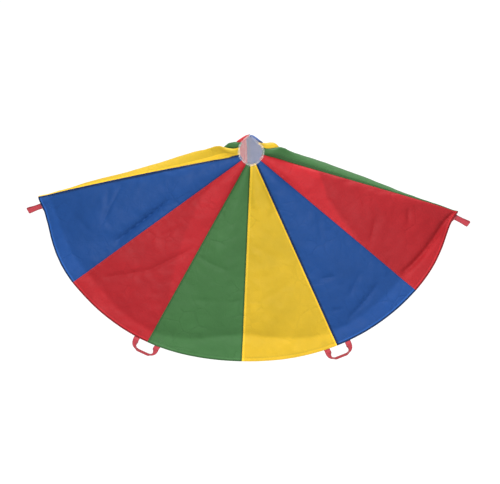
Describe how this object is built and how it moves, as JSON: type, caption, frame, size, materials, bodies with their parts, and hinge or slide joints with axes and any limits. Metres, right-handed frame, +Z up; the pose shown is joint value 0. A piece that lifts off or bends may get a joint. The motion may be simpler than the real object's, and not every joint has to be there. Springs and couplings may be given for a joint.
{
  "type": "play parachute",
  "caption": "Round play parachute of coloured nylon gores with a net vent and webbing loop handles, hung by its vent so that it drapes like a tent.",
  "frame": {"origin": "middle of the vent, where the part is held up", "axes": "+Z up, +X from the left side tip to the right side tip, -Y out of the front face"},
  "size_m": [1.8955, 0.9461, 0.7937],
  "materials": {
    "nylon_blue": "thin plain-woven nylon with a soft sheen, slightly translucent",
    "nylon_red": "thin plain-woven nylon with a soft sheen, slightly translucent",
    "nylon_green": "thin plain-woven nylon with a soft sheen, slightly translucent",
    "nylon_yellow": "thin plain-woven nylon with a soft sheen, slightly translucent",
    "vent_netting": "open white netting",
    "handle_webbing": "flat woven webbing"
  },
  "bodies": {
    "canopy": {"gore_1_blue": "nylon_blue", "gore_2_red": "nylon_red", "gore_3_green": "nylon_green", "gore_4_yellow": "nylon_yellow", "gore_5_blue": "nylon_blue", "gore_6_red": "nylon_red", "gore_7_green": "nylon_green", "gore_8_yellow": "nylon_yellow", "gore_9_blue": "nylon_blue", "gore_10_red": "nylon_red", "gore_11_green": "nylon_green", "gore_12_yellow": "nylon_yellow", "vent_net": "vent_netting", "handle_1_end_before": "handle_webbing", "handle_1_end_after": "handle_webbing", "handle_2_end_before": "handle_webbing", "handle_2_end_after": "handle_webbing", "handle_3_end_before": "handle_webbing", "handle_3_end_after": "handle_webbing", "handle_4_end_before": "handle_webbing", "handle_4_end_after": "handle_webbing", "handle_5_end_before": "handle_webbing", "handle_5_end_after": "handle_webbing", "handle_6_end_before": "handle_webbing", "handle_6_end_after": "handle_webbing"},
    "handle_1": {"handle_1_loop": "handle_webbing"},
    "handle_2": {"handle_2_loop": "handle_webbing"},
    "handle_3": {"handle_3_loop": "handle_webbing"},
    "handle_4": {"handle_4_loop": "handle_webbing"},
    "handle_5": {"handle_5_loop": "handle_webbing"},
    "handle_6": {"handle_6_loop": "handle_webbing"}
  },
  "joints": [
    {"name": "handle_1_swing", "type": "hinge", "parent": "canopy", "child": "handle_1", "pos_m": [-0.89908, 0.03547, -0.29053], "axis": [-0.3991, 0.0138, 0.9168], "range_deg": [-80, 80]},
    {"name": "handle_2_swing", "type": "hinge", "parent": "canopy", "child": "handle_2", "pos_m": [-0.43976, -0.41288, -0.69166], "axis": [-0.9097, 0.2874, 0.2998], "range_deg": [-85, 150]},
    {"name": "handle_3_swing", "type": "hinge", "parent": "canopy", "child": "handle_3", "pos_m": [0.3639, -0.44264, -0.68761], "axis": [-0.9297, -0.2135, -0.3001], "range_deg": [-85, 150]},
    {"name": "handle_4_swing", "type": "hinge", "parent": "canopy", "child": "handle_4", "pos_m": [0.87094, -0.03591, -0.30318], "axis": [0.4902, -0.0126, 0.8715], "range_deg": [-80, 80]},
    {"name": "handle_5_swing", "type": "hinge", "parent": "canopy", "child": "handle_5", "pos_m": [0.39448, 0.40679, -0.68279], "axis": [0.9094, -0.2872, 0.301], "range_deg": [-85, 150]},
    {"name": "handle_6_swing", "type": "hinge", "parent": "canopy", "child": "handle_6", "pos_m": [-0.39897, 0.4386, -0.68261], "axis": [0.9295, 0.2132, -0.3009], "range_deg": [-85, 150]}
  ]
}
